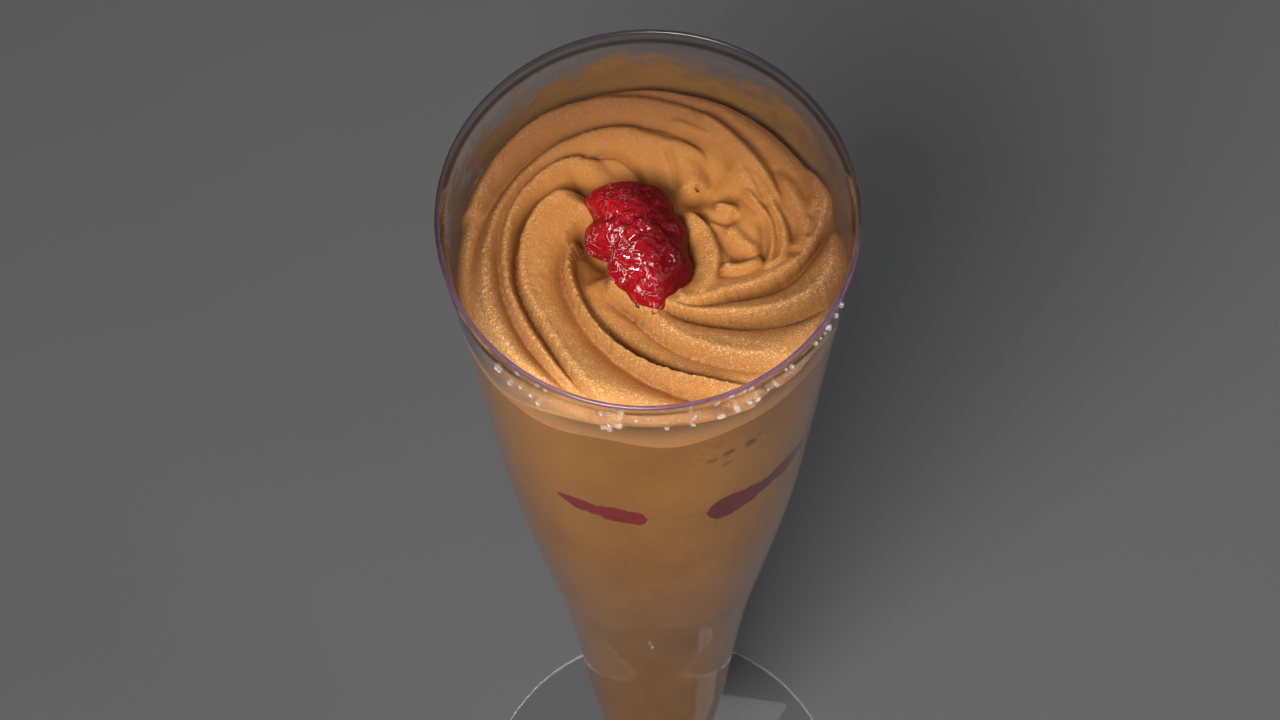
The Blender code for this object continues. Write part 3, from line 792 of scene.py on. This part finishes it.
def raspberry_flesh():
    """Wet crinkled crimson raspberry: painted shade to the right, painted highlights as pale lines on its
    near left.
    """
    finish = Finish("raspberry_flesh", Subsurface_Weight=0.20, Subsurface_Radius=(1.0, 0.12, 0.10),
                    Subsurface_Scale=0.0010, Specular_IOR_Level=0.12, Coat_Roughness=0.04, Coat_IOR=2.0)
    broad = finish.noise(0.0030, 3.0)
    fine = finish.noise(0.0006, 3.0)
    wrinkles = finish.noise(0.0015, 1.0, 0.5, winding=1.5)
    off_line = abs(wrinkles - 0.5)
    near = 1 - finish.band(finish.along("X") + finish.along("Y") * 0.15, -0.10 * RIM, 0.03 * RIM)
    near = near * (1 - 0.8 * finish.backwards(-0.06, 0.08))
    lines = 1 - finish.band(off_line, 0.0, 0.15)
    # Painted shade over the right side.
    shade = finish.band(finish.along("X") + finish.along("Y") * 0.35, -0.14 * RIM, 0.06 * RIM)
    colour = finish.mix(broad, srgb(140, 3, 10), srgb(190, 10, 28))
    colour = finish.mix(shade * 0.90, colour, srgb(82, 0, 4))
    colour = finish.mix(finish.band(fine, 0.60, 0.8) * 0.25, colour, srgb(190, 24, 40))
    # Painted highlights: pale squiggly lines over the near left.
    patches = finish.band(finish.noise(0.0022, 1.0), 0.40, 0.56)
    painted_highlight_lines = (1 - finish.band(off_line, 0.006, 0.030)) * near * patches
    colour = finish.mix(painted_highlight_lines * 0.90, colour, srgb(255, 200, 204))
    normal = finish.bump(lines * (0.5 + 0.5 * near), 0.00022, 1.0, finish.bump(fine, 0.00006, 0.6))
    coat = 0.05 + lines * (0.05 + 0.55 * near)
    return finish.set(Base_Color=colour, Roughness=0.50 + fine * 0.2, Coat_Weight=coat, Normal=normal)


def raspberry_pulp():
    """Crushed raspberry against the wall: uneven dark red, darkest to the right."""
    finish = Finish("raspberry_pulp", Subsurface_Weight=0.15, Subsurface_Radius=(1.0, 0.15, 0.10),
                    Subsurface_Scale=0.0010, Specular_IOR_Level=0.15)
    broad = finish.noise(0.0022, 3.0)
    colour = finish.mix(broad, srgb(84, 1, 1), srgb(166, 2, 4))
    right = finish.rightwards(-0.10, 0.20)
    colour = finish.mix(right * 0.6, colour, srgb(74, 0, 0))
    normal = finish.bump(broad, 0.0004, 0.6)
    return finish.set(Base_Color=colour, Roughness=0.65, Normal=normal)


def clear_plastic():
    """Clear moulded plastic. Its lip is violet at the front and grey-blue at the back, with a painted violet
    glow on its front, and the wall just below the lip lets more light straight through."""
    finish = Finish("clear_plastic", Transmission_Weight=1.0, IOR=1.49, Specular_IOR_Level=0.25,
                    Emission_Strength=1.0)
    lip = finish.upwards(*LIP_BAND)
    below = finish.upwards(*CLEAR_BAND) * (1 - lip)
    front = 1 - finish.backwards(-0.60, 0.20)
    violet = finish.mix(front, (0.26, 0.29, 0.44), (0.17, 0.14, 0.46))
    colour = finish.mix(lip, (0.975, 0.978, 0.985), violet)
    # Painted glow: the lip gives off violet light at the front.
    glow = finish.mix(lip * front, (0.0, 0.0, 0.0), (0.042, 0.030, 0.085))
    rough = 0.03 + lip * 0.20
    return finish.set(Base_Color=colour, Roughness=rough, Alpha=1 - below * 0.65, Emission_Color=glow)


def clear_beads():
    """Clear beads, very slightly milky."""
    finish = Finish("clear_beads", Transmission_Weight=0.93, IOR=1.40, Roughness=0.03)
    glint = finish.noise(0.0004)
    return finish.set(Base_Color=finish.mix(glint, (0.97, 0.97, 0.98), (1.0, 1.0, 1.0)))


def mousse_smear():
    """A thin smear of mousse on the wall, streaked and patchy, with clear gaps."""
    finish = Finish("mousse_smear", Roughness=0.6, Specular_IOR_Level=0.2)
    streaks = finish.noise(0.0050, 4.0, 0.6, (1.0, 1.0, 1.6))
    low = 1 - finish.upwards(0.40, 0.02)
    back = finish.backwards(0.15, 0.85)
    left = 1 - finish.rightwards(-0.95, -0.55)
    cover = finish.band(streaks + low * 0.45, 0.55, 0.95)
    cover = cover * (0.12 + 0.60 * back + 0.25 * left)
    colour = finish.mix(streaks, srgb(104, 74, 42), srgb(146, 103, 56))
    return finish.set(Base_Color=colour, Alpha=cover)


def dark_seed():
    """A near-black seed with a dull gloss."""
    finish = Finish("dark_seed", Roughness=0.6)
    tone = finish.noise(0.0003)
    return finish.set(Base_Color=finish.mix(tone, (0.010, 0.008, 0.008), (0.04, 0.03, 0.025)))


def floor_finish():
    """A plain pale surface."""
    finish = Finish("floor_finish", Roughness=0.8)
    tone = finish.noise(0.05)
    return finish.set(Base_Color=finish.mix(tone, (0.170, 0.170, 0.173), (0.178, 0.178, 0.182)))


# ---------------- pieces


def arc(radius, height, wide, tall, start, stop, count):
    """Points of an elliptic arc about a middle at a radius and a height, between two angles in degrees."""
    turn = np.radians(np.linspace(start, stop, count))
    return np.stack([radius + wide * np.cos(turn), height + tall * np.sin(turn)], axis=1)


def make_flute(finish):
    """The clear flute: one outline turned about the axis, from under the foot, up the outside, over the lip
    and down the inside to the bowl's floor."""
    half = FOOT_EDGE / 2
    foot_edge = arc(FOOT_RADIUS - FOOT_ROUNDING, half, FOOT_ROUNDING, half, -90, 90, 9)
    rounding = LIP_WALL / 2
    outside = spline(CUP_OUTLINE[:-1] + [(CUP_TOP - rounding, RIM)], 150)[:, ::-1]
    lip = arc(RIM - rounding, CUP_TOP - rounding, rounding, rounding, 0, 180, 13)
    down = np.linspace(CUP_TOP - 2 * rounding, BOWL_FLOOR + FLOOR_ROUNDING, 110)
    floor = BOWL_FLOOR + FLOOR_ROUNDING * (1 - np.cos(np.radians(np.linspace(86, 4, 16))))
    down = np.concatenate([down, floor[1:]])
    inside = np.stack([inner_radius(down), down], axis=1)
    outline = np.vstack([foot_edge, outside, lip[1:], inside])
    rows = points_round(outline[:, :1], even_angles(CUP_SIDES), outline[:, 1:])
    flute = skinned("flute", (0, 0, BOWL_FLOOR), rows[::-1], (0, 0, 0), finish, "cup")
    flute.visible_shadow = False


def smoothed(heights, reach):
    """The mean over a square of grid points, reach to each side, taken twice."""
    for axis in (0, 1, 0, 1):
        ends = [(reach + 1, reach) if a == axis else (0, 0) for a in (0, 1)]
        total = np.cumsum(np.pad(heights, ends, "edge"), axis=axis)
        count = heights.shape[axis]
        steps = [np.take(total, np.arange(start, start + count), axis) for start in (2 * reach + 1, 0)]
        heights = (steps[0] - steps[1]) / (2 * reach + 1)
    return heights


def mark_crests(piece):
    """Gives each point of the rosette its crest value: 0.5 + (height - mean height round it) / CREST_SPAN,
    kept between 0 and 1."""
    points = np.empty(3 * len(piece.data.vertices))
    piece.data.vertices.foreach_get("co", points)
    lid = points[2::3][: (ROSETTE_GRID + 1) ** 2].reshape(ROSETTE_GRID + 1, -1)
    stands = (lid - smoothed(lid, CREST_REACH)).reshape(-1) / CREST_SPAN
    values = np.full(len(piece.data.vertices), 0.5)
    values[: len(stands)] = np.clip(0.5 + stands, 0, 1)
    layer = piece.data.attributes.new("crest", "FLOAT", "POINT")
    layer.data.foreach_set("value", values)


def make_mousse(piped, settled):
    """The rosette and the three settled fillings under it."""
    rosette = filling("rosette", rosette_surface, ROSETTE_UNDERSIDE, ROSETTE_GRID, 10, piped,
                      "mousse_rosette")
    mark_crests(rosette)
    for name, top, bottom, side_rows, replaced in (
        ("mousse_above_fruit", ROSETTE_UNDERSIDE, fruit_top, 90, "mousse_upper"),
        ("mousse_below_fruit", fruit_underside, FLOOR_SEAM, 24, "mousse_middle"),
        ("mousse_in_the_bowl", FLOOR_SEAM, None, 120, "mousse_base"),
    ):
        filling(name, top, bottom, FILLING_GRID, side_rows, settled, replaced)


def make_fruit_layer(finish):
    """The raspberry layer, from its upper surface round its edge to its lower surface."""
    angles = even_angles(FRUIT_SIDES)
    edge = np.minimum(wall_edge(FRUIT_LEVEL, angles), fruit_reach(angles))
    shares = np.concatenate([np.linspace(0.2, 0.8, 5), np.linspace(0.84, 1.0, 10)])
    radius = shares[:, None] * edge
    angle = np.broadcast_to(angles, radius.shape)
    top, underside = fruit_top(radius, angle), fruit_underside(radius, angle)
    level = top[-1] + (underside[-1] - top[-1]) * np.linspace(0, 1, FRUIT_SIDE_ROWS)[:, None]
    side = points_round(np.minimum(filling_radius(level), edge + BITE), angles, level)
    above, below = points_round(radius, angle, top)[:-1], points_round(radius, angle, underside)[-2::-1]
    first, last = (0, 0, middle_of(fruit_top)), (0, 0, middle_of(fruit_underside))
    skinned("raspberries_in_the_mousse", first, np.concatenate([above, side, below]), last, finish,
            "raspberry_layer")


def make_raspberry(finish):
    """The raspberry: drupelets bulge from a domed lump with a lobed outline.

    A point at a share s of the way out to the outline has the dome's height there, (1 - s^2.6)^(1/2), taller
    by the highest of the round caps over the drupelets, plus small wrinkles; underneath is a plain bowl.
    """
    outline = np.array(BERRY_OUTLINE)
    around = np.append(outline[:, 0], outline[0, 0] + 360)
    reach = np.append(outline[:, 1], outline[0, 1])
    degrees = np.arange(BERRY_SIDES) * 360 / BERRY_SIDES
    edge = np.interp((degrees - around[0]) % 360 + around[0], around, reach)
    angles = np.radians(degrees)
    shares = np.sin(np.linspace(0.01, 0.5, BERRY_RINGS) * math.pi)
    share = np.broadcast_to(shares[:, None], (BERRY_RINGS, BERRY_SIDES))
    radius = share * edge
    x = BERRY_MIDDLE[0] + radius * np.cos(angles)
    y = BERRY_MIDDLE[1] + radius * np.sin(angles)
    caps = [np.sqrt(np.clip(1 - ((x - a) ** 2 + (y - b) ** 2) / r**2, 0, 1)) for a, b, r in DRUPELETS]
    cap = np.max(caps, axis=0)
    dome = np.sqrt(1 - share**2.6)
    wrinkle = 0.014 * lumps(x, y, 0.045, 21) + 0.007 * lumps(x, y, 0.024, 22)
    rise = BERRY_RISE * dome * (0.76 + 0.20 * cap) + wrinkle * np.sqrt(1 - share**6)
    sink = BERRY_SINK * np.sqrt(1 - share**2)
    top = np.dstack([x, y, -BERRY_LEVEL + rise])
    bottom = np.dstack([x, y, -BERRY_LEVEL - sink])
    rows = np.concatenate([top, bottom[-2::-1]]) * RIM
    rows[..., 2] += CUP_TOP
    first = (*(np.array(BERRY_MIDDLE) * RIM), rows[0, :, 2].mean())
    last = (*(np.array(BERRY_MIDDLE) * RIM), CUP_TOP + (-BERRY_LEVEL - BERRY_SINK) * RIM)
    skinned("raspberry_on_top", first, rows, last, finish, "raspberry")


def pebble(radius, height, sides=10, rings=4):
    """Rows of a small round lump, half an ellipse turned about its upright axis, from near its top down."""
    share = np.sin(np.arange(1, rings + 1) / rings * math.pi / 2)[:, None]
    top = points_round(share * radius, even_angles(sides), np.sqrt(1 - share**2) * height)
    return np.concatenate([top, top[-2::-1] * [1, 1, -1]])


def make_beads(finish):
    """Clear beads on the outside of the wall, in one piece: low round lumps facing out."""
    chance = np.random.default_rng(5)
    points, faces = [], []
    for degrees, depth, count, spread, size in BEAD_GROUPS:
        for _ in range(count):
            angle = math.radians(degrees) + chance.normal(0, spread)
            z = CUP_TOP - RIM * (depth + chance.normal(0, spread / 2))
            radius = BEAD_WIDENING * size * chance.uniform(0.7, 1.3)
            thickness = radius * BEAD_THICKNESS
            rows = pebble(radius, thickness)
            local = np.vstack([[[0, 0, thickness]], rows.reshape(-1, 3), [[0, 0, -thickness]]])
            out = np.array([math.cos(angle), math.sin(angle), 0])
            side = np.array([-math.sin(angle), math.cos(angle), 0])
            centre = out * float(outer_radius(z)) + np.array([0, 0, z])
            placed = centre + local[:, :1] * side + local[:, 1:2] * [0, 0, 1] + local[:, 2:] * out
            start = sum(len(p) for p in points)
            rings = start + 1 + np.arange(len(local) - 2).reshape(rows.shape[:2])
            faces += skin_faces(rings, start, start + len(local) - 1)
            points.append(placed)
    beads = add_piece("beads_on_the_wall", np.vstack(points), faces, finish)
    beads.visible_shadow = False


def make_smears(finish):
    """A film on the inside of the wall above the mousse: rings down its one face and up its other."""
    depth = np.linspace(*SMEAR_DEPTHS, SMEAR_RINGS)
    height = CUP_TOP - RIM * np.concatenate([depth, depth[::-1]])
    radius = inner_radius(height) - np.repeat(SMEAR_GAPS, SMEAR_RINGS)
    points = points_round(radius[:, None], even_angles(SMEAR_SIDES), height[:, None]).reshape(-1, 3)
    rings = np.arange(len(points)).reshape(-1, SMEAR_SIDES)
    film = add_piece("smears_on_the_wall", points, side_faces(np.vstack([rings, rings[:1]])), finish)
    film.visible_shadow = False


def make_seed(finish):
    """A dark seed at the raspberry's near end, a long lump lying on its side."""
    rows = pebble(SEED_RADIUS, SEED_HALF_THICKNESS, 16, 6) * [1.5, 0.9, 1.0] + SEED_PLACE
    up = np.array([0, 0, SEED_HALF_THICKNESS])
    seed = skinned("raspberry_seed", SEED_PLACE + up, rows, SEED_PLACE - up, finish)


# ---------------- stage


def make_camera():
    """A long lens above the front, at its distance from the middle of the rim."""
    distance, above = 0.4335, math.radians(62.767)
    pitch, heading, roll = math.radians(65.058), math.radians(-0.4175), math.radians(-1.683)
    data = bpy.data.cameras.new("camera")
    data.lens = 102.26
    data.sensor_width = 36
    data.clip_start = 0.01
    level_part = math.cos(pitch)
    forward = Vector((math.sin(heading) * level_part, math.cos(heading) * level_part, -math.sin(pitch)))
    level = forward.cross(Vector((0, 0, 1))).normalized()
    upright = level.cross(forward)
    right = level * math.cos(roll) + upright * math.sin(roll)
    up = upright * math.cos(roll) - level * math.sin(roll)
    place = Vector((0, -distance * math.cos(above), CUP_TOP + distance * math.sin(above)))
    camera = add_object("camera", data)
    camera.matrix_world = Matrix.Translation(place) @ Matrix([right, up, -forward]).transposed().to_4x4()
    bpy.context.scene.camera = camera


def softbox(name, place, target, width, height, power, colour=(1, 1, 1)):
    """A rectangular light of width by height metres, aimed at a target."""
    data = bpy.data.lights.new(name, "AREA")
    data.shape = "RECTANGLE"
    data.size = width
    data.size_y = height
    data.energy = power
    data.color = colour
    lamp = add_object(name, data)
    lamp.location = place
    lamp.rotation_euler = (Vector(target) - Vector(place)).to_track_quat("-Z", "Y").to_euler()


def make_stage():
    """A pale floor, a grey surround and soft lights, the main one from the front left."""
    side = 1.5
    corners = [(-side, -side, 0), (side, -side, 0), (side, side, 0), (-side, side, 0)]
    mesh = bpy.data.meshes.new("floor")
    mesh.from_pydata(corners, [], [(0, 1, 2, 3)])
    mesh.materials.append(floor_finish())
    floor = add_object("floor", mesh)
    world = bpy.data.worlds.new("surround")
    world.use_nodes = True
    background = world.node_tree.nodes["Background"].inputs
    background["Color"].default_value = (0.9, 0.95, 1.0, 1.0)
    background["Strength"].default_value = 0.085
    bpy.context.scene.world = world
    top = (0, 0, CUP_TOP)
    softbox("front_left_light", (-0.090, -0.235, 0.560), top, 0.15, 0.15, 2.25, (1.0, 0.98, 0.95))
    softbox("back_light", (0.10, 0.40, 0.55), top, 0.30, 0.12, 0.15)
    softbox("floor_light", (0.45, -0.05, 0.45), (0.20, 0.10, 0), 0.30, 0.30, 0.6)
    bpy.context.scene.view_settings.view_transform = "Standard"


def main():
    make_flute(clear_plastic())
    make_mousse(piped_mousse(), settled_mousse())
    make_fruit_layer(raspberry_pulp())
    make_raspberry(raspberry_flesh())
    make_beads(clear_beads())
    make_smears(mousse_smear())
    make_seed(dark_seed())
    make_stage()
    make_camera()


main()
